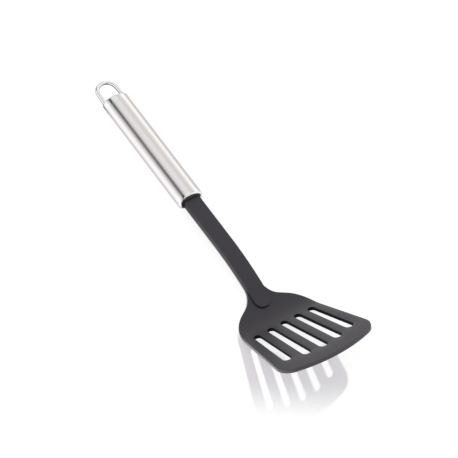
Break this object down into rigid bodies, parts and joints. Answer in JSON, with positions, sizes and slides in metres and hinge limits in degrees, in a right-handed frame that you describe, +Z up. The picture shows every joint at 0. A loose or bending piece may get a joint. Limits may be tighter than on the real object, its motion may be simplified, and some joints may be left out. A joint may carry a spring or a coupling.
{
  "type": "slotted kitchen turner",
  "caption": "Black nylon slotted turner with a long dipped neck, held in an oval brushed steel handle with polished end caps and a wire hanging loop.",
  "frame": {"origin": "under the middle of the whole length, on the surface that the handle and the heel rest on", "axes": "+X along the handle from the hanging loop to the blade's front edge, +Y across the blade, +Z up"},
  "size_m": [0.3222, 0.086, 0.0533],
  "materials": {
    "nylon": "fine matt grain, black-grey heat-proof nylon",
    "collar_nylon": "smooth black nylon",
    "brushed_tube": "satin, brushed along the handle",
    "polished_steel": "polished stainless steel",
    "loop_wire": "polished round wire",
    "core_plastic": "plain moulded plastic, hidden in the tube",
    "pin_steel": "plain ground pin, hidden in the tube"
  },
  "bodies": {
    "root": {"slotted_head": "nylon", "neck_collar": "collar_nylon", "front_cap": "polished_steel", "handle_tube": "brushed_tube", "handle_core": "core_plastic", "lock_pin": "pin_steel", "rear_cap": "polished_steel", "hanging_loop": "loop_wire"}
  },
  "joints": []
}
